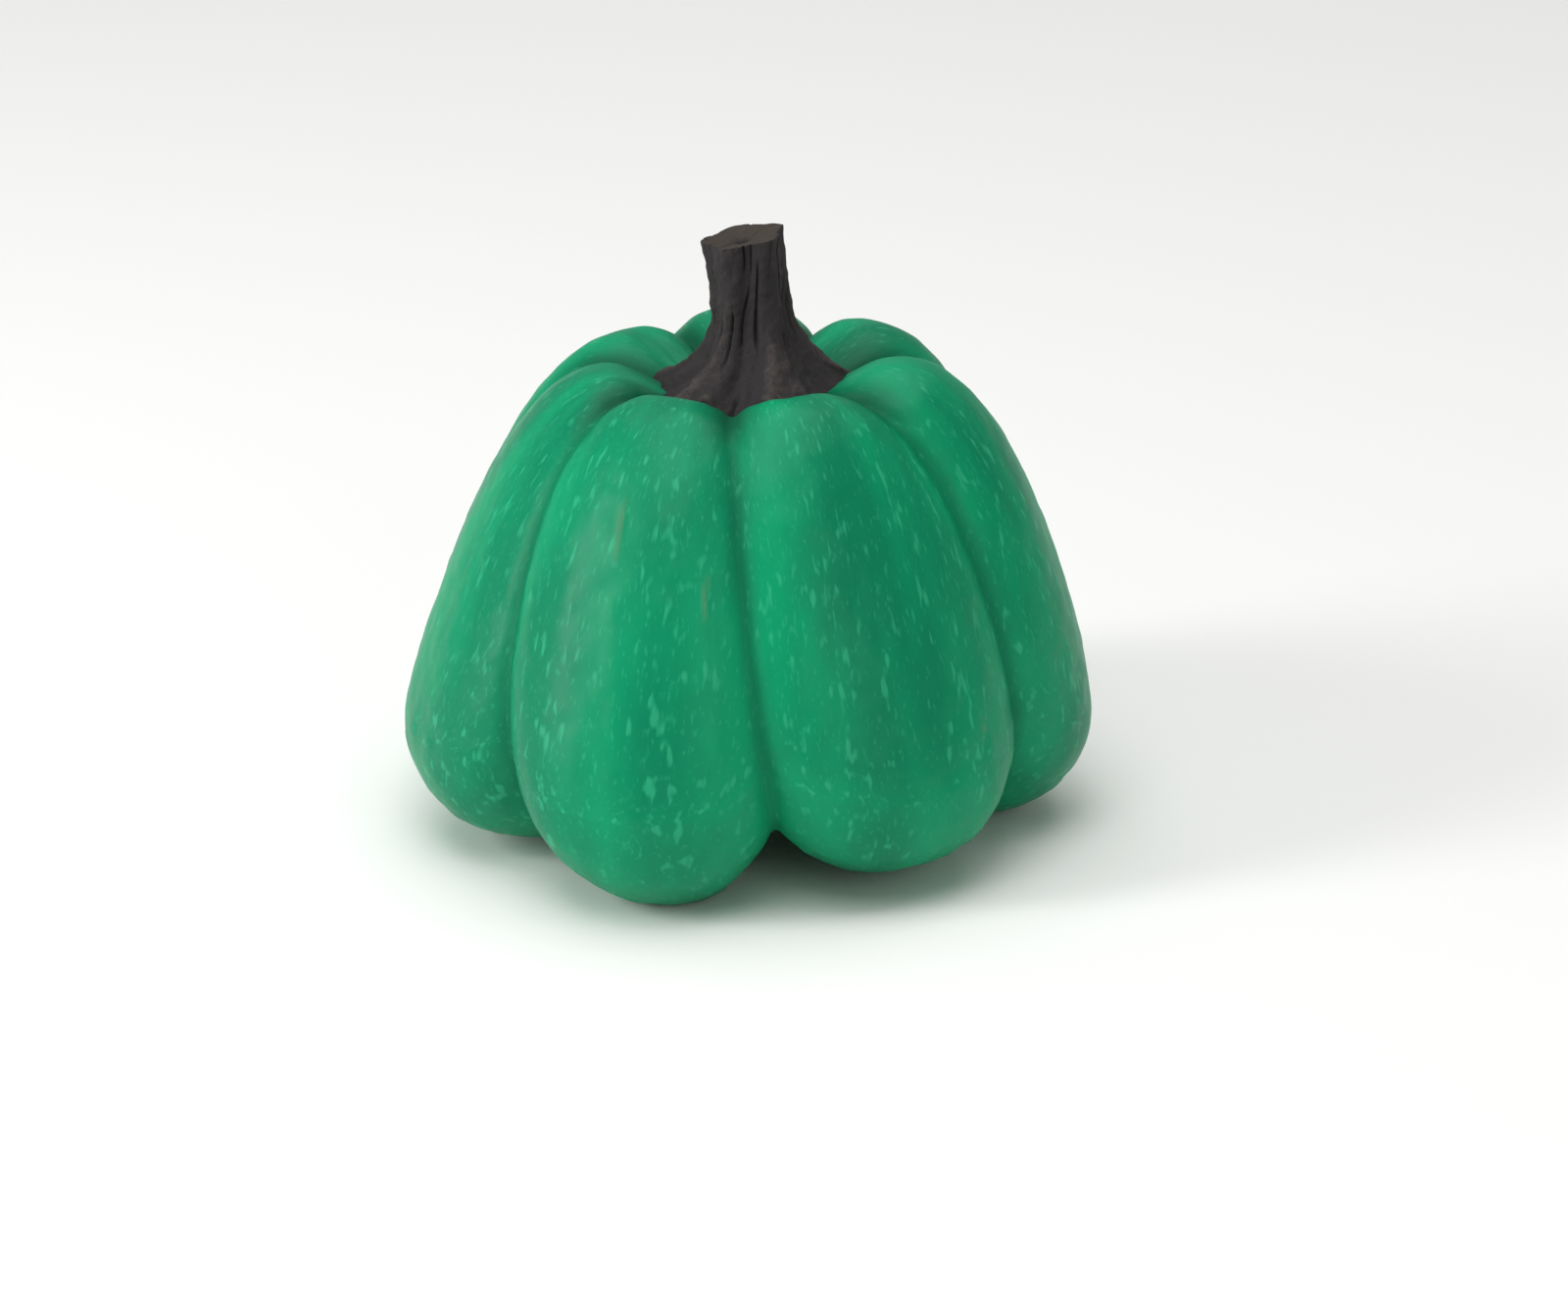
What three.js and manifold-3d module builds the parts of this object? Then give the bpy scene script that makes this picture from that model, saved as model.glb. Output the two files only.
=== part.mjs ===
// A kabocha squash as picked: one broad-lobed green fruit, with the dark corky stem that it was cut by.
// Millimetres, +Z up, the fruit resting on z = 0 by three of its lobes, with the middle of its box over the origin.
// The front of the squash is towards -Y. A bearing is an angle round the axis, from the front towards +X.

import * as THREE from "three";
import Module from "manifold-3d";
import { mergeVertices } from "three/addons/utils/BufferGeometryUtils.js";

// Both outlines start and end on the axis, at the stem's seat and at the blossom end.
const seatHeight = 117;
const blossomHeight = 12;
// The outline down the back of a lobe, and the one down the bottom of a furrow: the radius and height of the
// rim round the crown, of the widest place, and of the ring underneath that is lowest. The slope is a power that
// draws the shoulder in under the rim: 1 would make it a quarter of an ellipse, and more makes its flank straighter.
const lobeOutline = { rim: 42, top: 131, widest: 95, level: 31, foot: 58, bottom: 0, slope: 1.57 };
const furrowOutline = { rim: 36, top: 123.5, widest: 83, level: 42, foot: 46, bottom: 15, slope: 1.38 };

// How far down the skin the rim, the widest place and the lowest ring come, as shares of the whole way.
const rimShare = 0.18;
const widestShare = 0.58;
const footShare = 0.8;
// Powers of the two rounds of an outline, of which 1 is an ellipse, and of the crown's dish, flat in its middle.
const shoulderAcross = 0.94;
const bellyPower = { across: 0.95, up: 0.9 };
const dishPower = 1.5;

// Each lobe: the bearing where it starts, in degrees, how much it swells, how far its underside is lifted, and how
// much its shoulder stands out. The three lobes with a negative lift are pressed flat on the ground; they stand
// round the squash's weight.
const lobes = [
  { start: -49, swell: 1.035, lift: -1.6, shoulder: -4 },
  { start: 3, swell: 0.97, lift: 3.6, shoulder: -3.5 },
  { start: 60, swell: 1.0, lift: -1.4, shoulder: 0 },
  { start: 110, swell: 0.985, lift: 1.9, shoulder: 0 },
  { start: 160, swell: 1.01, lift: 1.3, shoulder: -0.5 },
  { start: 211, swell: 1.0, lift: -1.5, shoulder: -3.5 },
  { start: 261, swell: 0.98, lift: 2.4, shoulder: -5 },
];
const fullTurn = 360;
const lobeRoundness = 2.5; // power of a lobe's cross-section: 2 is a parabola, more is a fuller back
const furrowRounding = 0.06; // share of a half lobe over which a furrow's bottom is rounded
const lean = 22; // degrees that the furrows turn round from the stem to the blossom end
const unevenness = 0.55; // most that the slow swells raise or sink the skin
const blossomScar = { radius: 8.5, rise: 1.2, edge: 2.2 };

const sidesPerLobe = 14;
const bands = 40;

const stem = {
  root: 113, // height where the raw stem starts, inside the fruit
  top: 162.5,
  topRadius: 10.6,
  neckRadius: 9.4,
  footRadius: 38,
  flare: 4.5, // power by which the foot dies away up the stem
  ridges: 5,
  footRidge: 0.17, // ridge height as a share of the radius
  topRidge: 0.09,
  twist: 0.5, // radians that the ridges turn from foot to top
  footShift: { x: 5.5, y: -4.5 },
  topShift: { x: 0.4, y: 1.5 },
  cutSlope: 0.16, // rise per millimetre across the cut end
  cutDepth: 4, // power that keeps the slope of the cut to the top of the stem
  sides: 50,
  rings: 15,
  seatGap: 0.3,
};

// The point of an outline at a share s of the way from the seat to the blossom end, as [radius, height].
// Between the rim and the axis both ends are a dish with the profile of a cosine wave; the shoulder and the
// belly are quarters of two superellipses that meet at the widest place.
function alongOutline(outline, s) {
  const { rim, top, widest, level, foot, bottom, slope } = outline;
  if (s < rimShare) {
    const u = s / rimShare;
    return [rim * u, top - ((top - seatHeight) * (1 + Math.cos(Math.PI * u ** dishPower))) / 2];
  }
  if (s < widestShare) {
    const a = ((Math.PI / 2) * (s - rimShare)) / (widestShare - rimShare);
    return [
      rim + (widest - rim) * Math.sin(a) ** shoulderAcross,
      level + (top - level) * Math.max(0, Math.cos(a)) ** slope,
    ];
  }
  if (s < footShare) {
    const a = ((Math.PI / 2) * (s - widestShare)) / (footShare - widestShare);
    return [
      foot + (widest - foot) * Math.max(0, Math.cos(a)) ** bellyPower.across,
      level - (level - bottom) * Math.sin(a) ** bellyPower.up,
    ];
  }
  const u = (1 - s) / (1 - footShare);
  return [foot * u, bottom + ((blossomHeight - bottom) * (1 + Math.cos(Math.PI * u))) / 2];
}

// How far a point stands out of its furrow, from 0 in the furrow to 1 on the lobe's back.
// across runs from -1 to 1 over the lobe.
function standOut(across) {
  const fromFurrow = 1 - Math.abs(across);
  const rounded = Math.hypot(fromFurrow, furrowRounding) - furrowRounding;
  const whole = Math.hypot(1, furrowRounding) - furrowRounding;
  return 1 - Math.max(0, 1 - rounded / whole) ** lobeRoundness;
}

// Slow swells that keep the skin from being a perfect figure; they die away at both ends.
function swells(bearing, s) {
  const waves =
    Math.sin(3 * bearing + 7 * s + 0.4) +
    0.7 * Math.sin(8 * bearing - 11 * s + 2.1) +
    0.5 * Math.sin(13 * bearing + 17 * s + 4.4);
  return (unevenness * waves * Math.sin(Math.PI * s)) / 2.2;
}

// The skin at a share round the fruit and a share s down it.
function skinPoint(round, s) {
  const place = (round * lobes.length) % lobes.length;
  const k = Math.floor(place);
  const lobe = lobes[k];
  const end = k + 1 < lobes.length ? lobes[k + 1].start : lobes[0].start + fullTurn;
  const bearing = THREE.MathUtils.degToRad(lobe.start + (place - k) * (end - lobe.start) + lean * (s - 0.5));

  const out = standOut(2 * (place - k) - 1);
  const back = alongOutline(lobeOutline, s);
  const furrow = alongOutline(furrowOutline, s);
  const below = Math.max(0, s - widestShare) / (1 - widestShare);
  const lift = lobe.lift * Math.sin(Math.PI * below) ** 2;
  const shoulder = lobe.shoulder * Math.sin(Math.PI * Math.min(1, s / widestShare)) ** 2;
  const radius = furrow[0] + (back[0] * lobe.swell + shoulder - furrow[0]) * out + swells(bearing, s);
  let height = furrow[1] + (back[1] + shoulder + lift - furrow[1]) * out;

  if (s > widestShare) {
    const inside = (blossomScar.radius - radius) / blossomScar.edge;
    height -= blossomScar.rise * THREE.MathUtils.smoothstep(inside, 0, 1);
  }
  return new THREE.Vector3(radius * Math.sin(bearing), -radius * Math.cos(bearing), Math.max(height, 0));
}

// The skin is a sphere's grid of vertices, each moved to its place on the squash.
function fruitGeometry() {
  const skin = new THREE.SphereGeometry(1, lobes.length * sidesPerLobe, bands);
  const { position, uv } = skin.attributes;
  for (let i = 0; i < position.count; i++) {
    const band = Math.round((1 - uv.getY(i)) * bands);
    const atEnd = band === 0 || band === bands;
    const p = skinPoint(atEnd ? 0 : uv.getX(i), band / bands);
    if (atEnd) p.set(0, 0, p.z);
    position.setXYZ(i, p.x, p.y, p.z);
  }
  return skin;
}

// The whole stem, with its foot run down into the fruit: a capped cylinder's vertices moved to a ridged,
// leaning spindle with a flared foot and a slanting cut.
function rawStemGeometry() {
  const raw = new THREE.CylinderGeometry(1, 1, 1, stem.sides, stem.rings).rotateX(Math.PI / 2);
  const { position } = raw.attributes;
  const { lerp, clamp } = THREE.MathUtils;
  for (let i = 0; i < position.count; i++) {
    const round = Math.atan2(position.getY(i), position.getX(i));
    const fromAxis = Math.hypot(position.getX(i), position.getY(i));
    const z = lerp(stem.root, stem.top, position.getZ(i) + 0.5);
    const h = clamp((z - seatHeight) / (stem.top - seatHeight), 0, 1);

    const plain =
      stem.neckRadius +
      (stem.topRadius - stem.neckRadius) * h ** 2 +
      (stem.footRadius - stem.neckRadius) * (1 - h) ** stem.flare;
    const ridge = lerp(stem.topRidge, stem.footRidge, (1 - h) ** 2);
    const reach = fromAxis * plain * (1 + ridge * Math.cos(stem.ridges * (round - stem.twist * h)));

    const acrossCut = reach * Math.cos(round);
    const x = lerp(stem.footShift.x, stem.topShift.x, h) + acrossCut;
    const y = lerp(stem.footShift.y, stem.topShift.y, h) + reach * Math.sin(round);
    position.setXYZ(i, x, y, z + stem.cutSlope * acrossCut * h ** stem.cutDepth);
  }
  return raw;
}

const wasm = await Module();
wasm.setup();

// A closed geometry as a solid: only positions are kept, so that vertices in one place merge.
function solidOf(geometry) {
  const bare = geometry.clone();
  bare.deleteAttribute("normal");
  bare.deleteAttribute("uv");
  const merged = mergeVertices(bare, 1e-4);
  return new wasm.Manifold(
    new wasm.Mesh({
      numProp: 3,
      vertProperties: new Float32Array(merged.attributes.position.array),
      triVerts: new Uint32Array(merged.index.array),
    }),
  );
}

function geometryOf(solid) {
  const { vertProperties, triVerts } = solid.getMesh();
  const geometry = new THREE.BufferGeometry();
  geometry.setAttribute("position", new THREE.BufferAttribute(new Float32Array(vertProperties), 3));
  geometry.setIndex(new THREE.BufferAttribute(new Uint32Array(triVerts), 1));
  geometry.computeVertexNormals();
  return geometry;
}

// The stem above the skin: its foot is cut to the crown's own shape, a hair clear of it.
function stemGeometry(fruit) {
  const lifted = fruit.clone().translate(0, 0, stem.seatGap);
  return geometryOf(solidOf(rawStemGeometry()).subtract(solidOf(lifted)));
}

function named(geometry, name, material) {
  const mesh = new THREE.Mesh(geometry, material);
  mesh.name = name;
  return mesh;
}

const rind = new THREE.MeshStandardMaterial({ color: 0x0c8a62, roughness: 0.42, metalness: 0 });
const cork = new THREE.MeshStandardMaterial({ color: 0x2b2829, roughness: 0.85, metalness: 0 });

const fruit = fruitGeometry();
const squash = new THREE.Group();
squash.add(named(fruit, "squash_fruit", rind), named(stemGeometry(fruit), "squash_stem", cork));

const middle = new THREE.Box3().setFromObject(squash).getCenter(new THREE.Vector3());
squash.position.set(-middle.x, -middle.y, 0);

export default squash;
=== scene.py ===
"""A kabocha squash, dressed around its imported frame: the waxy lobed fruit and its corky stem.

Metres, +Z up, the front towards -Y. A bearing is an angle round the squash's axis, from the front
towards +X. A share runs down the skin, from 0 at the stem's seat to 1 at the blossom end.
"""

import itertools
import math

import bpy
import numpy as np
from bpy.props import FloatProperty, FloatVectorProperty, PointerProperty
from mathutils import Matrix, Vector


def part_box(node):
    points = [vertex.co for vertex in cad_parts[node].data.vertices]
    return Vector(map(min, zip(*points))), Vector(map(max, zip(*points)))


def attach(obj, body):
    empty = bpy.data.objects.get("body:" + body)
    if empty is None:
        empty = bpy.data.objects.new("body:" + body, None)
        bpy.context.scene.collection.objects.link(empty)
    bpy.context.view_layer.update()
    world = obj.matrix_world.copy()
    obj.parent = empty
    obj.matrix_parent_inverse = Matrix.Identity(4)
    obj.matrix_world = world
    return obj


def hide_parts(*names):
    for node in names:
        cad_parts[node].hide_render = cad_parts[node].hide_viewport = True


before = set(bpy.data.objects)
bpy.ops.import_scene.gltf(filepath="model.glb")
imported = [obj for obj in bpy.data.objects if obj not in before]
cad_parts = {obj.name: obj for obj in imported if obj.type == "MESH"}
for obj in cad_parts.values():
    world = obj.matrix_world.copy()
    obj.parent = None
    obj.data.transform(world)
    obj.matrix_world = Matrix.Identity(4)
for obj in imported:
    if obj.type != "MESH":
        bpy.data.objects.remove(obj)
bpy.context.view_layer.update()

bl_info = {
    "name": "Kabocha squash",
    "version": (1, 0, 0),
    "blender": (4, 5, 0),
    "location": "3D View > Sidebar > Squash",
    "description": "Makes a whole kabocha squash with a corky stem, and a plain stage to look at it on",
    "category": "Add Mesh",
}

MM = 0.001
FRUIT_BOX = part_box("squash_fruit")

# Each lobe: the bearing in degrees where it starts, how much it swells, how far its underside is
# lifted, and how much its shoulder stands out.
LOBES = np.array([
    (-49, 1.035, -1.6 * MM, -4.0 * MM),
    (3, 0.97, 3.6 * MM, -3.5 * MM),
    (60, 1.0, -1.4 * MM, 0),
    (110, 0.985, 1.9 * MM, 0),
    (160, 1.01, 1.3 * MM, -0.5 * MM),
    (211, 1.0, -1.5 * MM, -3.5 * MM),
    (261, 0.98, 2.4 * MM, -5.0 * MM),
])
FULL_TURN = 360  # degrees

# The shares where the rim round the crown, the widest place and the lowest ring come.
RIM_SHARE, WIDEST_SHARE, FOOT_SHARE = 0.18, 0.58, 0.8
# Powers of the outlines' rounds, of which 1 is an ellipse, and of the crown's dish.
SHOULDER_ACROSS, LOBE_SLOPE, FURROW_SLOPE = 0.94, 1.57, 1.38
BELLY_ACROSS, BELLY_UP = 0.95, 0.9
DISH = 1.5

# The slow swells of the skin: weight, waves round the squash, radians down it, and phase.
SWELLS = ((1, 3, 7, 0.4), (0.7, 8, -11, 2.1), (0.5, 13, 17, 4.4))

# Each light: its width and height, and where it stands.
LIGHTS = {
    "window": ((0.38, 1.0), (-1.41, -0.46, 0.67)),
    "high": ((0.9, 0.9), (-0.2, -0.77, 1.57)),
    "fill": ((0.8, 1.0), (1.03, -1.79, 0.82)),
    "overhead": ((3.4, 3.4), (0, 0.5, 3.2)),
}


def linear(hex_colour):
    """The linear RGB of an sRGB hex colour, by the sRGB standard's two-part curve."""
    srgb = np.array([int(hex_colour[i:i + 2], 16) for i in (1, 3, 5)]) / 255
    return tuple(np.where(srgb <= 0.04045, srgb / 12.92, ((srgb + 0.055) / 1.055) ** 2.4))


def length(name, description, default):
    """A setting that is a length."""
    return FloatProperty(
        name=name, description=description, default=default,
        unit="LENGTH", subtype="DISTANCE", precision=4,
    )


def colour(name, description, hex_colour):
    """A setting that is a colour."""
    return FloatVectorProperty(
        name=name, description=description, default=linear(hex_colour),
        subtype="COLOR", min=0, max=1,
    )


def power(name, description, default):
    """A setting that is the power of a light."""
    return FloatProperty(name=name, description=description, default=default, min=0, unit="POWER")


class SquashFruitSettings(bpy.types.PropertyGroup):
    """Sizes and colours of the fruit."""

    lobe_widest: length("Lobe radius", "Radius of the lobes' backs at the widest place", 95 * MM)
    lobe_level: length("Lobe level", "Height of the widest place of a lobe", 31 * MM)
    lobe_rim: length("Lobe rim", "Radius of the lobes' tops round the crown", 42 * MM)
    lobe_foot: length("Lobe foot", "Radius where a lobe stands on the ground", 58 * MM)
    lobe_top: length("Lobe top", "Height of the lobes' tops", 131 * MM)
    furrow_widest: length("Furrow radius", "Radius of the furrows at their widest place", 83 * MM)
    furrow_level: length("Furrow level", "Height of the furrows' widest place", 42 * MM)
    furrow_rim: length("Furrow rim", "Radius of the furrows' tops round the crown", 36 * MM)
    furrow_foot: length("Furrow foot", "Radius of the furrows' lowest place", 46 * MM)
    furrow_top: length("Furrow top", "Height of the furrows' tops", 123.5 * MM)
    furrow_bottom: length("Furrow bottom", "Height of the furrows' lowest place", 15 * MM)
    seat: length("Stem seat", "Height of the crown's middle, where the stem grows", 117 * MM)
    blossom: length("Blossom end", "Height of the middle of the underside", 12 * MM)
    green: colour("Green", "The rind's own green", "#009565")
    # The deep green also gives the painted shade in the furrows, at 0.35 of its brightness.
    deep: colour("Deep green", "Its darker clouds", "#007D57")
    pale: colour("Pale green", "Flecks and streaks", "#35B184")
    russet: colour("Russet", "Healed scratches and the blossom scar", "#837F62")


class SquashStemSettings(bpy.types.PropertyGroup):
    """Sizes and colours of the stem."""

    top: length("Top", "Height of the middle of the cut", 162.5 * MM)
    root: length("Root", "Height where the modelled stem ends inside the fruit", 113 * MM)
    top_radius: length("Top radius", "Radius at the cut", 10.6 * MM)
    neck_radius: length("Neck radius", "Radius at the slimmest place", 9.4 * MM)
    foot_radius: length("Foot radius", "Radius of the flared foot", 38 * MM)
    charcoal: colour("Charcoal", "The stem's dry cork", "#2A2627")
    crest: colour("Crest", "Worn crests of its ridges", "#4A4340")
    # The crack colour is painted shade at the bottoms of the cracks.
    crack: colour("Crack", "The bottoms of its cracks", "#0E0C0D")
    pith: colour("Pith", "The dried cut end", "#3D362E")


class SquashStageSettings(bpy.types.PropertyGroup):
    """The floor, the lights and the camera."""

    elevation: FloatProperty(
        name="Camera elevation", description="How far above the horizon the camera looks from",
        default=math.radians(20), subtype="ANGLE", unit="ROTATION",
    )
    distance: length("Camera distance", "From the camera to the squash", 1.6)
    lens: FloatProperty(
        name="Lens", description="Focal length for a 36 mm wide sensor",
        default=133.2, unit="CAMERA",
    )
    aim_right: length("Aim right", "How far right of the squash's axis the camera aims", 9.5 * MM)
    aim_up: length("Aim up", "How far above the squash's foot it aims, in the picture", 43 * MM)
    floor: colour("Floor", "The plain floor", "#F4F4F2")
    window_power: power("Window power", "Power of the tall light on the left", 15)
    high_power: power("High power", "Power of the soft light high in front", 7)
    fill_power: power("Fill power", "Power of the weak light at the front right", 4.5)
    overhead_power: power("Overhead power", "Power of the light above, mostly for the floor", 60)


def smoothstep(low, high, value):
    """0 at low, 1 at high, 3t^2 - 2t^3 between and level beyond; it falls where low is the larger."""
    t = np.clip((value - low) / (high - low), 0, 1)
    return t * t * (3 - 2 * t)


def bell(value, width):
    """1 where the value is 0, falling away on both sides as exp(-(value / width)^2)."""
    return np.exp(-((value / width) ** 2))


def soft_noise(points, size, seed, height=1):
    """A smooth random value at each point, from -height to height: random values at the corners of
    a lattice of cubes of the given size, blended inside each cube by smoothstep on the three axes."""
    side = 32  # cubes along each axis, after which the lattice repeats
    values = np.random.default_rng(seed).uniform(-1, 1, (side, side, side))
    place = points / size
    low = np.floor(place).astype(int)
    t = smoothstep(0, 1, place - low)
    total = np.zeros(points.shape[:-1])
    for corner in itertools.product((0, 1), repeat=3):
        weight = np.prod(np.where(corner, t, 1 - t), axis=-1)
        total += weight * values[tuple(np.moveaxis((low + corner) % side, -1, 0))]
    return height * total


def ring_mesh(name, rings, first, last, **attributes):
    """A closed mesh of rings of points, from the first pole to the last, with quads between rings
    and a fan of triangles at each pole. An attribute holds one value, or one vector, for each point
    of the rings, and a pole has the mean of the ring next to it."""
    count, around = rings.shape[:2]
    index = np.arange(count * around).reshape(count, around)
    following = np.roll(index, -1, axis=1)
    poles = np.full(around, count * around), np.full(around, count * around + 1)
    quads = np.stack([index[:-1], index[1:], following[1:], following[:-1]], axis=-1).reshape(-1, 4)
    top = np.stack([poles[0], index[0], following[0]], axis=-1)
    bottom = np.stack([poles[1], following[-1], index[-1]], axis=-1)
    points = np.concatenate([rings.reshape(-1, 3), [first, last]])

    mesh = bpy.data.meshes.new(name)
    mesh.from_pydata(points.tolist(), [], quads.tolist() + top.tolist() + bottom.tolist())
    for key, values in attributes.items():
        per_point = values.reshape(count * around, -1)
        ends = per_point.reshape(count, around, -1)[[0, -1]].mean(axis=1)
        per_point = np.concatenate([per_point, ends])
        vector = per_point.shape[1] == 3
        layer = mesh.attributes.new(key, "FLOAT_VECTOR" if vector else "FLOAT", "POINT")
        flat = per_point.astype(np.float32).ravel()
        layer.data.foreach_set("vector" if vector else "value", flat)
    mesh.shade_smooth()
    mesh.validate()
    piece = bpy.data.objects.new(name, mesh)
    bpy.context.scene.collection.objects.link(piece)
    return piece


def normals_of(rings):
    """The outward unit normals of rings of points that run from the top down, and anticlockwise seen
    from above: the cross product of the way down and the way round."""
    down = np.gradient(rings, axis=0)
    around = np.roll(rings, -1, axis=1) - np.roll(rings, 1, axis=1)
    normals = np.cross(down, around)
    return normals / np.linalg.norm(normals, axis=-1, keepdims=True)


def outline(s, rim, top, widest, level, foot, bottom, seat, blossom, slope):
    """Radius and height at a share s. Inside the rim and inside the foot both ends are a dish with
    the profile of a cosine wave, and the shoulder and the belly are quarters of two superellipses
    that meet at the widest place."""
    quarter = math.pi / 2
    near = s / RIM_SHARE
    shoulder = quarter * np.clip((s - RIM_SHARE) / (WIDEST_SHARE - RIM_SHARE), 0, 1)
    belly = quarter * np.clip((s - WIDEST_SHARE) / (FOOT_SHARE - WIDEST_SHARE), 0, 1)
    far = (1 - s) / (1 - FOOT_SHARE)
    where = [s < RIM_SHARE, s < WIDEST_SHARE, s < FOOT_SHARE]
    radius = np.select(where, [
        rim * near,
        rim + (widest - rim) * np.sin(shoulder) ** SHOULDER_ACROSS,
        foot + (widest - foot) * np.clip(np.cos(belly), 0, 1) ** BELLY_ACROSS,
    ], foot * far)
    height = np.select(where, [
        top - (top - seat) * (1 + np.cos(math.pi * np.clip(near, 0, 1) ** DISH)) / 2,
        level + (top - level) * np.clip(np.cos(shoulder), 0, 1) ** slope,
        level - (level - bottom) * np.sin(belly) ** BELLY_UP,
    ], bottom + (blossom - bottom) * (1 + np.cos(math.pi * np.clip(far, 0, 1))) / 2)
    return radius, height


class Skin:
    """The lobed skin on a grid of shares down the fruit by shares round it."""

    roundness = 2.5  # power of a lobe's cross-section: 2 is a parabola, more is a fuller back
    furrow_rounding = 0.06  # share of a half lobe over which a furrow's bottom is rounded
    lean = 22  # degrees that the furrows turn round from the stem to the blossom end
    unevenness = 0.55 * MM  # most that the slow swells raise or sink the skin

    def __init__(self, sizes, down, around):
        """A point's radius and height go from the furrow's outline to the lobe's as it stands out of
        the furrow: out = 1 - (1 - d)^roundness, where d is how far the point is from the furrow, 1
        on the lobe's back. A lobe's lift and shoulder come in as squared sines of the share."""
        s, share = np.meshgrid(down, around, indexing="ij")
        place = share * len(LOBES)
        k = np.minimum(place.astype(int), len(LOBES) - 1)
        t = place - k
        start, swell, lift, shoulder = LOBES[k].transpose(2, 0, 1)
        end = np.roll(LOBES[:, 0], -1)
        end[-1] += FULL_TURN
        bearing = np.radians(start + t * (end[k] - start) + self.lean * (s - 0.5))
        self.share, self.bearing, self.across = s, bearing, 2 * t - 1

        whole = math.hypot(1, self.furrow_rounding) - self.furrow_rounding
        rounded = np.hypot(1 - np.abs(self.across), self.furrow_rounding) - self.furrow_rounding
        out = 1 - np.clip(1 - rounded / whole, 0, 1) ** self.roundness
        ends = sizes.seat, sizes.blossom
        back = outline(
            s, sizes.lobe_rim, sizes.lobe_top, sizes.lobe_widest, sizes.lobe_level,
            sizes.lobe_foot, 0, *ends, LOBE_SLOPE,
        )
        low = outline(
            s, sizes.furrow_rim, sizes.furrow_top, sizes.furrow_widest, sizes.furrow_level,
            sizes.furrow_foot, sizes.furrow_bottom, *ends, FURROW_SLOPE,
        )
        below = np.clip(s - WIDEST_SHARE, 0, 1) / (1 - WIDEST_SHARE)
        lift = lift * np.sin(math.pi * below) ** 2
        shoulder = shoulder * np.sin(math.pi * np.clip(s / WIDEST_SHARE, 0, 1)) ** 2
        waves = sum(
            tall * np.sin(turns * bearing + drop * s + phase) for tall, turns, drop, phase in SWELLS
        )
        tallest = sum(wave[0] for wave in SWELLS)
        swells = self.unevenness * waves * np.sin(math.pi * s) / tallest
        self.radius = low[0] + (back[0] * swell + shoulder - low[0]) * out + swells
        height = low[1] + (back[1] + shoulder + lift - low[1]) * out
        self.points = np.stack([
            self.radius * np.sin(bearing), -self.radius * np.cos(bearing), height,
        ], axis=-1)


def places_along_lobes(skin):
    """Where patterns that are drawn out along the lobes are read: round the squash as it is, on one
    girth, but squeezed down it."""
    girth, squeezed = 85 * MM, 110 * MM
    return np.stack([
        girth * np.sin(skin.bearing), -girth * np.cos(skin.bearing), squeezed * skin.share,
    ], axis=-1)


def furrow_depths(skin):
    """How near a point is to the bottom of its furrow, and to the throat where a furrow runs over the
    rim into the crown, each from 0 to 1: a bell across the furrow, faded out towards its ends."""
    crease_width, throat_width = 2.2 * MM, 6.5 * MM
    side = (1 - np.abs(skin.across)) * skin.radius * math.pi / len(LOBES)
    crease = bell(side, crease_width)
    crease = crease * smoothstep(0, 0.1, skin.share) * smoothstep(1, 0.9, skin.share)
    # The throat serves only the painted shade in the rind's colour; the crease also sinks the skin and
    # dulls the wax.
    throat = bell(side, throat_width)
    throat = throat * smoothstep(0.3, 0.19, skin.share) * smoothstep(0.02, 0.08, skin.share)
    return crease, throat


def healed_marks(skin):
    """Where the skin has healed as cork, from 0 to 1: short scratches, each a thin wavy line that
    tapers at both ends, scattered by a seeded draw over the sides."""
    count, seed = 7, 11
    wave_height, wave_length = 0.6 * MM, 3 * MM
    meridian = 270 * MM  # about the way down the skin from the seat to the blossom end
    outer_edge, inner_edge = 2.4, 0.6  # of a scratch's soft side, in its own widths
    draw = np.random.default_rng(seed)
    marks = np.zeros(skin.share.shape)
    for _ in range(count):
        bearing = draw.uniform(0, 2 * math.pi)
        share = draw.uniform(0.3, 0.72)
        tilt = draw.normal(math.pi / 2, 0.5)
        reach = draw.uniform(2.5, 8) * MM
        width = draw.uniform(0.3, 0.6) * MM
        turn = (skin.bearing - bearing + math.pi) % (2 * math.pi) - math.pi
        right, down = turn * skin.radius, (skin.share - share) * meridian
        along = right * math.cos(tilt) + down * math.sin(tilt)
        wave = wave_height * np.sin(along / wave_length + bearing)
        aside = down * math.cos(tilt) - right * math.sin(tilt) + wave
        taper = np.clip(1 - (along / reach) ** 2, 0, 1)
        line = smoothstep(outer_edge, inner_edge, np.abs(aside) / width)
        marks = np.maximum(marks, taper * line)
    return marks


def blossom_scar(skin):
    """The scar in the middle of the underside, from 0 to 1, and the low rim round it. Its edge is
    ragged, because soft noise is added to the radius at which it ends."""
    inner, outer, rim, rim_width = 7.6 * MM, 9.4 * MM, 8.6 * MM, 1.2 * MM
    ragged = skin.radius + soft_noise(skin.points, size=2.8 * MM, seed=10, height=1.1) * MM
    underneath = skin.share > WIDEST_SHARE
    return smoothstep(outer, inner, ragged) * underneath, bell(ragged - rim, rim_width) * underneath


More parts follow.
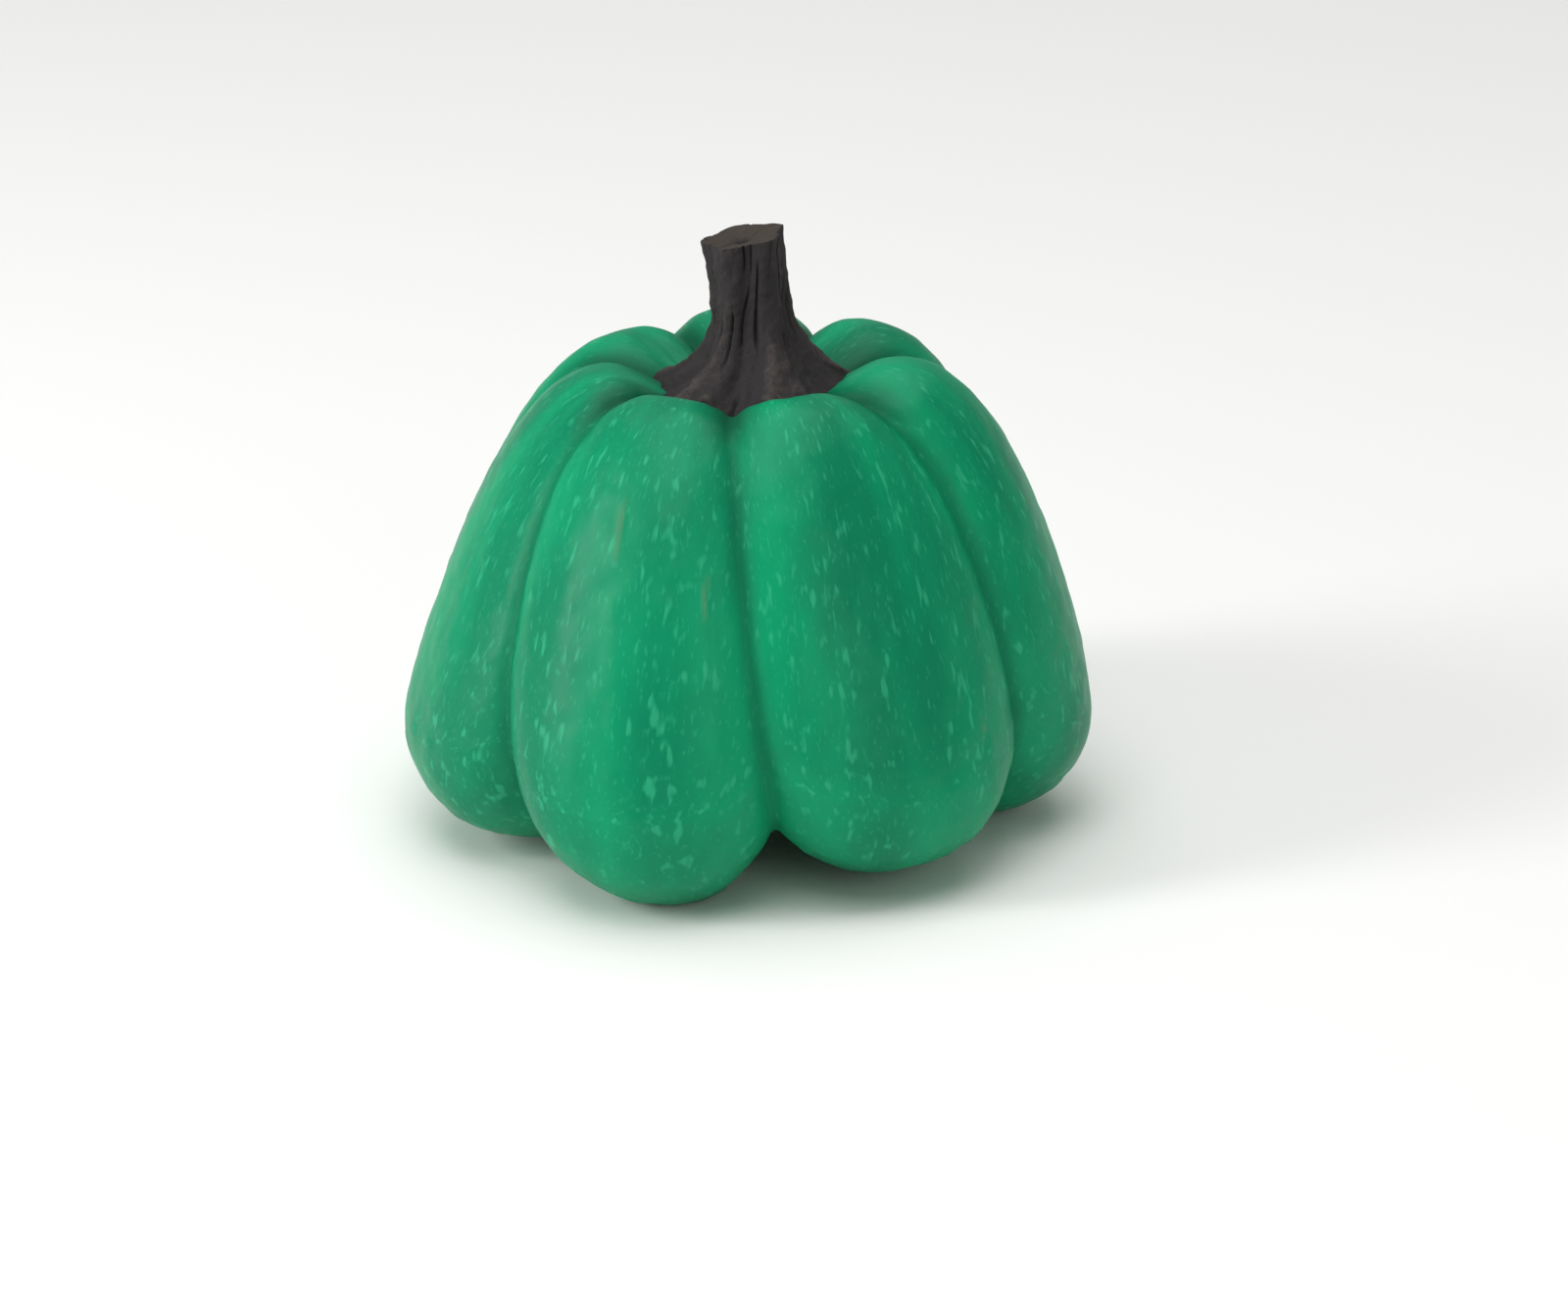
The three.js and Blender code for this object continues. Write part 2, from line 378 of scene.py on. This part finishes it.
def skin_relief(skin, drawn, crease, marks, scar, rim):
    """How far the skin stands out of its plain form. It is a sum, in millimetres: pebbles, broad
    facets and warts, faded out towards both ends; wrinkles in a ring round the stem; furrows sunk to
    a crease; healed marks raised. In the scar all that gives way to a rough hollow with a rim."""
    points = skin.points
    pebbles = (
        soft_noise(points, size=6.5 * MM, seed=1, height=0.24)
        + soft_noise(points, size=3.4 * MM, seed=2, height=0.13)
    )
    facets = (
        soft_noise(drawn, size=13 * MM, seed=3, height=0.38)
        + soft_noise(points, size=30 * MM, seed=4, height=0.3)
    )
    # Warts are the tips of a noise, and they are taller low down on the fruit.
    wart_height, least_share = 0.35, 0.35
    grown = least_share + (1 - least_share) * smoothstep(0.2, 0.75, skin.share)
    tips = smoothstep(0.35, 0.9, soft_noise(points, size=5.5 * MM, seed=5))
    warts = grown * wart_height * tips

    wrinkle_ring, wrinkle_spread, squeeze = 24 * MM, 9 * MM, (1, 1, 0.2)
    wrinkles_end = RIM_SHARE * 1.3
    wrinkles = soft_noise(drawn * squeeze, size=7 * MM, seed=6, height=0.5)
    wrinkles = wrinkles * bell(skin.radius - wrinkle_ring, wrinkle_spread)
    wrinkles = wrinkles * (skin.share < wrinkles_end)

    crease_depth, mark_height, scar_depth, rim_height = 0.8, 0.28, 0.9, 0.7
    ends = smoothstep(0, 0.12, skin.share) * smoothstep(1, 0.9, skin.share)
    relief = ends * (pebbles + facets + warts) + wrinkles
    relief = relief - crease_depth * crease + mark_height * marks
    roughness = soft_noise(points, size=1.8 * MM, seed=7, height=0.25)
    relief = relief * (1 - scar) + scar * (roughness - scar_depth) + rim_height * rim
    return relief * MM


def fleck_streaks(skin, drawn):
    """Where flecks crowd together, from 0 to about 1: two bells on each flank of a lobe, with edges
    that wander and a strength that comes and goes down them."""
    inner_flank, inner_width = 0.42, 0.12
    outer_flank, outer_width, outer_strength = 0.78, 0.08, 0.8
    flank = np.abs(skin.across) + soft_noise(drawn, size=9 * MM, seed=8, height=0.06)
    streak = bell(flank - inner_flank, inner_width)
    streak = streak + outer_strength * bell(flank - outer_flank, outer_width)
    strength = 0.7 + soft_noise(drawn, size=20 * MM, seed=9, height=0.3)
    return streak * smoothstep(0.05, 0.2, skin.share) * strength


def add(tree, kind, settings=None, inputs=None):
    """Add a node with its settings. An input is named or numbered, and holds a value or another
    node's output."""
    node = tree.nodes.new(kind)
    for key, value in (settings or {}).items():
        setattr(node, key, value)
    for key, value in (inputs or {}).items():
        if isinstance(value, bpy.types.NodeSocket):
            tree.links.new(value, node.inputs[key])
        elif isinstance(value, tuple) and node.inputs[key].type == "RGBA":
            node.inputs[key].default_value = (*value[:3], 1)
        else:
            node.inputs[key].default_value = value
    return node


def new_material(name):
    """An empty node material; gives the material, its tree and its Principled shader."""
    material = bpy.data.materials.new(name)
    material.use_nodes = True
    tree = material.node_tree
    return material, tree, tree.nodes["Principled BSDF"]


MIX_FACTOR, MIX_A, MIX_B, MIX_RESULT = 0, 6, 7, 2  # a Mix node's colour sockets, by number


def waxy_rind(look):
    """Living squash rind, grown smooth and covered with natural wax: a satin gloss over clouded
    emerald green, with pale flecks drawn out along the lobes, painted shade darkening its furrows, and
    dull corky marks where the skin has healed. Pores are drawn about twice as coarse as real ones, so
    that they show."""
    material, tree, shader = new_material("waxy_squash_rind")
    place = add(tree, "ShaderNodeAttribute", {"attribute_name": "skin_place"}).outputs["Vector"]
    solid = add(tree, "ShaderNodeTexCoord").outputs["Object"]
    furrow, throat, streak, russet = (
        add(tree, "ShaderNodeAttribute", {"attribute_name": name}).outputs["Fac"]
        for name in ("furrow", "throat", "streak", "russet")
    )

    # Clouds of the two greens.
    cloud_size, fleck_size, speck_size, pore_size = 26 * MM, 2.2 * MM, 0.9 * MM, 0.55 * MM
    cloud = add(tree, "ShaderNodeTexNoise", None, {
        "Vector": place, "Scale": 1 / cloud_size, "Detail": 4.0,
    }).outputs["Fac"]
    cloudy = add(tree, "ShaderNodeMapRange", None, {
        "Value": cloud, "From Min": 0.38, "From Max": 0.62,
    }).outputs["Result"]
    green = add(tree, "ShaderNodeMix", {"data_type": "RGBA"}, {
        MIX_FACTOR: cloudy, MIX_A: tuple(look.deep), MIX_B: tuple(look.green),
    }).outputs[MIX_RESULT]

    # A fleck shows where its noise is over a shore. A streak lowers the shore, so flecks crowd there.
    shore_height, shore_in_streak = 0.655, -0.09
    fleck = add(tree, "ShaderNodeTexNoise", None, {
        "Vector": place, "Scale": 1 / fleck_size, "Detail": 1.0,
    }).outputs["Fac"]
    speck = add(tree, "ShaderNodeTexNoise", None, {
        "Vector": place, "Scale": 1 / speck_size, "Detail": 2.0,
    }).outputs["Fac"]
    shore = add(tree, "ShaderNodeMath", {"operation": "MULTIPLY_ADD"}, {
        0: streak, 1: shore_in_streak, 2: shore_height,
    }).outputs[0]
    over = add(tree, "ShaderNodeMath", {"operation": "SUBTRACT"}, {0: fleck, 1: shore}).outputs[0]
    flecked = add(tree, "ShaderNodeMapRange", None, {
        "Value": over, "From Min": -0.02, "From Max": 0.1, "To Max": 0.5,
    }).outputs["Result"]
    specked = add(tree, "ShaderNodeMapRange", None, {
        "Value": speck, "From Min": 0.6, "From Max": 0.72, "To Max": 0.3,
    }).outputs["Result"]
    paled = add(tree, "ShaderNodeMath", {"operation": "MAXIMUM"}, {
        0: flecked, 1: specked,
    }).outputs[0]
    skin = add(tree, "ShaderNodeMix", {"data_type": "RGBA"}, {
        MIX_FACTOR: paled, MIX_A: green, MIX_B: tuple(look.pale),
    }).outputs[MIX_RESULT]

    # Painted shade darkens the furrows, most of all in their throats, where they run over the rim into
    # the crown; healed skin is russet.
    furrow_shade, throat_shade, shade_depth = 0.45, 0.85, 0.35
    shaded = add(tree, "ShaderNodeMath", {"operation": "MULTIPLY"}, {
        0: furrow, 1: furrow_shade,
    }).outputs[0]
    throat_shaded = add(tree, "ShaderNodeMath", {"operation": "MULTIPLY"}, {
        0: throat, 1: throat_shade,
    }).outputs[0]
    shaded = add(tree, "ShaderNodeMath", {"operation": "MAXIMUM"}, {
        0: shaded, 1: throat_shaded,
    }).outputs[0]
    skin = add(tree, "ShaderNodeMix", {"data_type": "RGBA"}, {
        MIX_FACTOR: shaded, MIX_A: skin, MIX_B: tuple(shade_depth * c for c in look.deep),
    }).outputs[MIX_RESULT]
    skin = add(tree, "ShaderNodeMix", {"data_type": "RGBA"}, {
        MIX_FACTOR: russet, MIX_A: skin, MIX_B: tuple(look.russet),
    }).outputs[MIX_RESULT]

    # The wax is satin, uneven with the clouds, and worn dull in the furrows and on healed skin.
    satin, uneven, worn_dull = 0.34, 0.14, 0.35
    dull = add(tree, "ShaderNodeMath", {"operation": "MAXIMUM"}, {0: russet, 1: furrow}).outputs[0]
    bloom = add(tree, "ShaderNodeMath", {"operation": "MULTIPLY_ADD"}, {
        0: cloud, 1: uneven, 2: satin,
    }).outputs[0]
    rough = add(tree, "ShaderNodeMath", {"operation": "MULTIPLY_ADD"}, {
        0: dull, 1: worn_dull, 2: bloom,
    }).outputs[0]
    pore = add(tree, "ShaderNodeTexNoise", None, {
        "Vector": solid, "Scale": 1 / pore_size, "Detail": 2.0,
    }).outputs["Fac"]
    pores = add(tree, "ShaderNodeBump", None, {
        "Height": pore, "Distance": 0.05 * MM, "Strength": 0.5,
    }).outputs["Normal"]
    bumps = add(tree, "ShaderNodeBump", None, {
        "Height": paled, "Distance": 0.12 * MM, "Strength": 0.6, "Normal": pores,
    }).outputs["Normal"]

    tree.links.new(skin, shader.inputs["Base Color"])
    tree.links.new(rough, shader.inputs["Roughness"])
    tree.links.new(bumps, shader.inputs["Normal"])
    shader.inputs["IOR"].default_value = 1.45
    shader.inputs["Specular IOR Level"].default_value = 0.14
    shader.inputs["Coat Weight"].default_value = 0.08
    shader.inputs["Coat Roughness"].default_value = 0.36
    return material


def dry_cork(look):
    """The stem's own cork, dried and weathered on the vine: matt charcoal, split lengthways, greyer
    on its worn crests and painted black with shade in its cracks, with a paler ring of fibres on the
    cut end."""
    material, tree, shader = new_material("dry_stem_cork")
    lengthways = (1, 1, 0.18)
    place = add(tree, "ShaderNodeTexCoord").outputs["Object"]
    drawn_out = add(tree, "ShaderNodeMapping", None, {
        "Vector": place, "Scale": lengthways,
    }).outputs["Vector"]
    crest, crack, cut = (
        add(tree, "ShaderNodeAttribute", {"attribute_name": name}).outputs["Fac"]
        for name in ("crest", "crack", "cut")
    )

    fibre_size, grain_size = 1.3 * MM, 0.5 * MM
    fibre = add(tree, "ShaderNodeTexNoise", None, {
        "Vector": drawn_out, "Scale": 1 / fibre_size, "Detail": 4.0, "Roughness": 0.65,
    }).outputs["Fac"]
    grain = add(tree, "ShaderNodeTexNoise", None, {
        "Vector": place, "Scale": 1 / grain_size, "Detail": 2.0,
    }).outputs["Fac"]

    # Crests are worn along their fibres, the cut end is pith, and painted shade makes the cracks
    # darkest.
    worn = add(tree, "ShaderNodeMath", {"operation": "MULTIPLY"}, {0: crest, 1: fibre}).outputs[0]
    worn = add(tree, "ShaderNodeMapRange", None, {
        "Value": worn, "From Min": 0.25, "From Max": 0.6, "To Max": 0.75,
    }).outputs["Result"]
    bark = add(tree, "ShaderNodeMix", {"data_type": "RGBA"}, {
        MIX_FACTOR: worn, MIX_A: tuple(look.charcoal), MIX_B: tuple(look.crest),
    }).outputs[MIX_RESULT]
    cut_end = add(tree, "ShaderNodeMath", {"operation": "MULTIPLY"}, {0: cut, 1: grain}).outputs[0]
    cut_end = add(tree, "ShaderNodeMapRange", None, {
        "Value": cut_end, "From Max": 0.6,
    }).outputs["Result"]
    bark = add(tree, "ShaderNodeMix", {"data_type": "RGBA"}, {
        MIX_FACTOR: cut_end, MIX_A: bark, MIX_B: tuple(look.pith),
    }).outputs[MIX_RESULT]
    bark = add(tree, "ShaderNodeMix", {"data_type": "RGBA"}, {
        MIX_FACTOR: crack, MIX_A: bark, MIX_B: tuple(look.crack),
    }).outputs[MIX_RESULT]

    rough = add(tree, "ShaderNodeMapRange", None, {
        "Value": grain, "To Min": 0.66, "To Max": 0.92,
    }).outputs["Result"]
    fine = add(tree, "ShaderNodeBump", None, {
        "Height": grain, "Distance": 0.15 * MM, "Strength": 0.7,
    }).outputs["Normal"]
    fibres = add(tree, "ShaderNodeBump", None, {
        "Height": fibre, "Distance": 0.5 * MM, "Strength": 0.8, "Normal": fine,
    }).outputs["Normal"]

    tree.links.new(bark, shader.inputs["Base Color"])
    tree.links.new(rough, shader.inputs["Roughness"])
    tree.links.new(fibres, shader.inputs["Normal"])
    shader.inputs["Specular IOR Level"].default_value = 0.3
    return material


def plain_floor(look):
    """A painted studio floor: nearly white and quite matt."""
    material, _, shader = new_material("matt_studio_paint")
    shader.inputs["Base Color"].default_value = (*look.floor, 1)
    shader.inputs["Roughness"].default_value = 0.9
    shader.inputs["Specular IOR Level"].default_value = 0.1
    return material


class SQUASH_OT_fruit(bpy.types.Operator):
    """Make the lobed fruit, with its pebbled skin, healed marks and blossom scar"""

    bl_idname = "squash.fruit"
    bl_label = "Make fruit"

    around = 62 * len(LOBES)  # points in a ring
    bands = 226
    mark_russet = 0.25  # how russet a healed scratch is, from 0 to 1

    def execute(self, context):
        """The skin's plain form is moved along its normals by its relief, and then set in the middle
        of the fruit's box, with nothing below the ground."""
        sizes = context.scene.squash_fruit
        down = np.arange(1, self.bands) / self.bands
        skin = Skin(sizes, down, np.arange(self.around) / self.around)
        drawn = places_along_lobes(skin)
        crease, throat = furrow_depths(skin)
        marks = healed_marks(skin)
        scar, rim = blossom_scar(skin)
        relief = skin_relief(skin, drawn, crease, marks, scar, rim)
        points = skin.points + normals_of(skin.points) * relief[..., None]

        middle = (points.max(axis=(0, 1)) + points.min(axis=(0, 1))) / 2
        shift = np.array((FRUIT_BOX[0] + FRUIT_BOX[1]) / 2) - middle
        points[..., :2] += shift[:2]
        points[..., 2] = np.maximum(points[..., 2], 0)
        seat = (shift[0], shift[1], sizes.seat)
        blossom = (shift[0], shift[1], points[-1, :, 2].mean())

        corked = scar * (0.8 + soft_noise(skin.points, size=1.4 * MM, seed=11, height=0.2))
        russet = np.maximum(self.mark_russet * marks, corked)
        # The furrow and throat attributes carry the painted shade of the furrows into the rind.
        piece = ring_mesh(
            "fruit_skin", points, seat, blossom, skin_place=drawn, furrow=crease, throat=throat,
            streak=fleck_streaks(skin, drawn), russet=russet,
        )
        piece.data.materials.append(waxy_rind(sizes))
        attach(piece, "root")
        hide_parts("squash_fruit")
        context.scene["squash_axis"] = tuple(shift[:2])
        return {"FINISHED"}


def round_axis(radius, turn, height):
    """Points at a radius, a turn and a height, which broadcast together into rings."""
    across = radius * np.cos(turn), radius * np.sin(turn)
    return np.stack(np.broadcast_arrays(*across, height), axis=-1)


class SQUASH_OT_stem(bpy.types.Operator):
    """Make the corky stem, with its ridges, cracks, flared foot and dried cut end"""

    bl_idname = "squash.stem"
    bl_label = "Make stem"

    around = 300  # points in a ring
    side_rings = 150
    cut_rings = 26
    first_ring = 0.04  # radius of the cut end's first ring, as a share
    flare = 4.5  # power by which the foot dies away up the stem
    ridges = 5
    foot_ridge, top_ridge = 0.17, 0.09  # ridge height as a share of the radius
    twist = 0.5  # radians that the ridges turn from foot to top
    foot_shift = np.array((5.5, -4.5)) * MM
    top_shift = np.array((0.4, 1.5)) * MM
    cut_slope = 0.16  # rise per metre across the cut end
    cut_depth = 4  # power that keeps the slope of the cut to the top of the stem
    crack_lines = 9  # in half a turn
    foot_strands = 17
    edge_power = 14  # the more it is, the sharper the cut's rounded edge

    def cork(self, reach, around, z, h, wave):
        """The cork's relief in millimetres, and its cracks and worn crests from 0 to 1. Ribs, grain
        and lumps are noises. Cracks are lines at even turns that wander by a noise, and open and
        close by another. The foot is corkier, as (1 - h)^2.5: warty, with strands that fan out over
        it. Patterns that run lengthways are read at places drawn out along the stem."""
        pattern_radius, drawn_out = 9 * MM, 0.16
        drawn = round_axis(pattern_radius, around, drawn_out * z)
        body = round_axis(reach, around, z)
        ribs = soft_noise(drawn, size=1.9 * MM, seed=21)
        grain = soft_noise(body, size=1.5 * MM, seed=22)
        lumps = soft_noise(body, size=5 * MM, seed=23)
        wander = soft_noise(drawn * (1, 1, 1.6), size=4.5 * MM, seed=24, height=2.6)
        opening = soft_noise(drawn * (1, 1, 3), size=3.2 * MM, seed=25)
        opening = smoothstep(-0.25, 0.35, opening)
        lines = np.abs(np.sin(self.crack_lines * around + wander))
        crack = smoothstep(0.9, 0.995, lines) * opening

        corky = (1 - h) ** 2.5
        warty = (
            soft_noise(body, size=2.6 * MM, seed=27)
            + soft_noise(body, size=1.3 * MM, seed=28, height=0.6)
        )
        bend = soft_noise(body, size=7 * MM, seed=29, height=1.8)
        strands = np.cos(self.foot_strands * around + bend)

        rib_height, grain_height, lump_height, crack_depth = 0.45, 0.22, 0.45, 0.75
        wart_height, strand_height = 0.5, 0.55
        relief = rib_height * ribs + grain_height * grain + lump_height * lumps - crack_depth * crack
        relief = relief + corky * (wart_height * warty + strand_height * strands)
        ridge_wear, rib_wear, foot_wear = 0.5, 0.5, 0.4
        crest = ridge_wear * wave + rib_wear * ribs + foot_wear * corky * (strands + warty)
        return relief, crack, smoothstep(-0.2, 0.9, crest) * (1 - crack)

    def cut_relief(self, inward, turn):
        """How far the cut end stands out of its plane: a shallow dip, a small hollow where the pith
        has dried, and low spokes from a noise, all of it gone at the rounded edge."""
        dip_depth, pith_depth, pith_width = 0.9 * MM, 1.6 * MM, 0.26
        spoke_radius, spoke_length, spoke_height = 8 * MM, 3 * MM, 0.35 * MM
        edge = np.sqrt(np.clip(1 - inward ** self.edge_power, 0, 1))
        dip = -dip_depth * (1 - inward ** 2) - pith_depth * bell(inward, pith_width)
        spoke_places = round_axis(spoke_radius, turn, spoke_length * inward)
        spokes = soft_noise(spoke_places, size=1.6 * MM, seed=26, height=spoke_height)
        return edge * (dip + spokes)

    def execute(self, context):
        """The side is a spindle: radius = neck + (top - neck) h^2 + (foot - neck)(1 - h)^flare, times
        a wave for the ridges, where h is the share of the way up from the seat. The cork stands out
        along the side's own normal, which turns upwards on the flared foot. The cut end is rings
        that close on its middle, on a slope that dies away down the stem as h^cut_depth."""
        sizes = context.scene.squash_stem
        seat = context.scene.squash_fruit.seat
        axis = np.array(context.scene["squash_axis"])
        turn = 2 * math.pi * np.arange(self.around) / self.around - math.pi / 2

        side = np.linspace(sizes.top, sizes.root, self.side_rings)
        closing = np.linspace(self.first_ring, 1, self.cut_rings)[:-1]
        z = np.concatenate([np.full(len(closing), sizes.top), side])[:, None]
        inward = np.concatenate([closing, np.ones(self.side_rings)])[:, None]
        h = np.clip((z - seat) / (sizes.top - seat), 0, 1)
        top_more = sizes.top_radius - sizes.neck_radius
        foot_more = sizes.foot_radius - sizes.neck_radius
        plain = sizes.neck_radius + top_more * h ** 2 + foot_more * (1 - h) ** self.flare
        ridge = self.top_ridge + (self.foot_ridge - self.top_ridge) * (1 - h) ** 2
        around = turn - self.twist * h
        wave = np.cos(self.ridges * around)
        reach = plain * (1 + ridge * wave)

        relief, crack, crest = self.cork(reach, around, z, h, wave)
        slope = foot_more * self.flare * (1 - h) ** (self.flare - 1) / (sizes.top - seat)
        outward = relief * MM / np.sqrt(1 + slope ** 2)
        reach = reach + outward

        on_cut = (inward < 1) * 1.0
        across = reach * inward
        x = self.foot_shift[0] + (self.top_shift[0] - self.foot_shift[0]) * h + across * np.cos(turn)
        y = self.foot_shift[1] + (self.top_shift[1] - self.foot_shift[1]) * h + across * np.sin(turn)
        slant = self.cut_slope * across * np.cos(turn) * h ** self.cut_depth
        height = z + slant + outward * slope + on_cut * self.cut_relief(inward, turn)
        points = np.stack([x + axis[0], y + axis[1], height], axis=-1)

        # The pith shows inside the cut's edge, and not in its hollow.
        pith = smoothstep(0.99, 0.9, inward) * smoothstep(0.12, 0.3, inward)
        cut = on_cut * pith * np.ones_like(reach)
        # The crack attribute carries the painted shade in the cracks.
        piece = ring_mesh(
            "stem_cork", points, points[0].mean(axis=0), points[-1].mean(axis=0),
            crest=crest, crack=crack * (1 - cut), cut=cut,
        )
        piece.data.materials.append(dry_cork(sizes))
        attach(piece, "root")
        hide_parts("squash_stem")
        return {"FINISHED"}


def aimed(piece, place, target):
    """Put a light or a camera at a place, looking at the target."""
    piece.location = place
    piece.rotation_euler = (Vector(target) - Vector(place)).to_track_quat("-Z", "Y").to_euler()
    bpy.context.scene.collection.objects.link(piece)


def area_light(name, size, watts, place, target):
    """A soft rectangular light at a place, shining on the target."""
    lamp = bpy.data.lights.new(name, "AREA")
    lamp.shape = "RECTANGLE"
    lamp.size, lamp.size_y = size
    lamp.energy = watts
    aimed(bpy.data.objects.new(name, lamp), place, target)


class SQUASH_OT_stage(bpy.types.Operator):
    """Make the plain floor, the soft lights and the camera"""

    bl_idname = "squash.stage"
    bl_label = "Make stage"

    floor_side = 12.0
    middle_height = 0.07  # about the middle of the squash, which the lights shine on
    sky_strength = 0.3
    nearest, furthest = 0.05, 50

    def execute(self, context):
        """The floor is one square. The camera looks down by its elevation at a point that is set off
        from the squash's foot by so much right and so much up in the picture."""
        stage = context.scene.squash_stage
        half = self.floor_side / 2
        corners = [(-half, -half, 0), (half, -half, 0), (half, half, 0), (-half, half, 0)]
        mesh = bpy.data.meshes.new("floor")
        mesh.from_pydata(corners, [], [(0, 1, 2, 3)])
        mesh.materials.append(plain_floor(stage))
        floor = bpy.data.objects.new("floor", mesh)
        context.scene.collection.objects.link(floor)

        for name, (size, place) in LIGHTS.items():
            area_light(name, size, getattr(stage, name + "_power"), place, (0, 0, self.middle_height))

        world = bpy.data.worlds.new("studio")
        world.use_nodes = True
        sky = world.node_tree.nodes["Background"]
        sky.inputs["Color"].default_value = (1, 1, 1, 1)
        sky.inputs["Strength"].default_value = self.sky_strength
        context.scene.world = world
        context.scene.view_settings.view_transform = "Standard"

        tilt = stage.elevation
        back = Vector((0, -math.cos(tilt), math.sin(tilt)))
        up = Vector((0, math.sin(tilt), math.cos(tilt)))
        target = Vector((stage.aim_right, 0, 0)) + up * stage.aim_up
        lens = bpy.data.cameras.new("camera")
        lens.lens = stage.lens
        lens.clip_start, lens.clip_end = self.nearest, self.furthest
        camera = bpy.data.objects.new("camera", lens)
        aimed(camera, target + back * stage.distance, target)
        context.scene.camera = camera
        return {"FINISHED"}


class SQUASH_PT_panel(bpy.types.Panel):
    """The squash's pieces, with their sizes and colours"""

    bl_label = "Kabocha squash"
    bl_idname = "SQUASH_PT_panel"
    bl_space_type = "VIEW_3D"
    bl_region_type = "UI"
    bl_category = "Squash"

    def draw(self, context):
        for group, operator in OPERATORS.items():
            box = self.layout.box()
            settings = getattr(context.scene, group)
            for key in settings.__annotations__:
                box.prop(settings, key)
            box.operator(operator.bl_idname)


SETTINGS = {
    "squash_fruit": SquashFruitSettings,
    "squash_stem": SquashStemSettings,
    "squash_stage": SquashStageSettings,
}
OPERATORS = {
    "squash_fruit": SQUASH_OT_fruit,
    "squash_stem": SQUASH_OT_stem,
    "squash_stage": SQUASH_OT_stage,
}
CLASSES = (*SETTINGS.values(), *OPERATORS.values(), SQUASH_PT_panel)


def register():
    """Add the squash's classes, and its settings to the scene."""
    for item in CLASSES:
        bpy.utils.register_class(item)
    for name, group in SETTINGS.items():
        setattr(bpy.types.Scene, name, PointerProperty(type=group))


def unregister():
    """Take the settings and the classes away again."""
    for name in SETTINGS:
        delattr(bpy.types.Scene, name)
    for item in reversed(CLASSES):
        bpy.utils.unregister_class(item)


def main():
    """Make the stage, the fruit and the stem."""
    register()
    bpy.ops.squash.stage()
    bpy.ops.squash.fruit()
    bpy.ops.squash.stem()


if __name__ == "__main__":
    main()
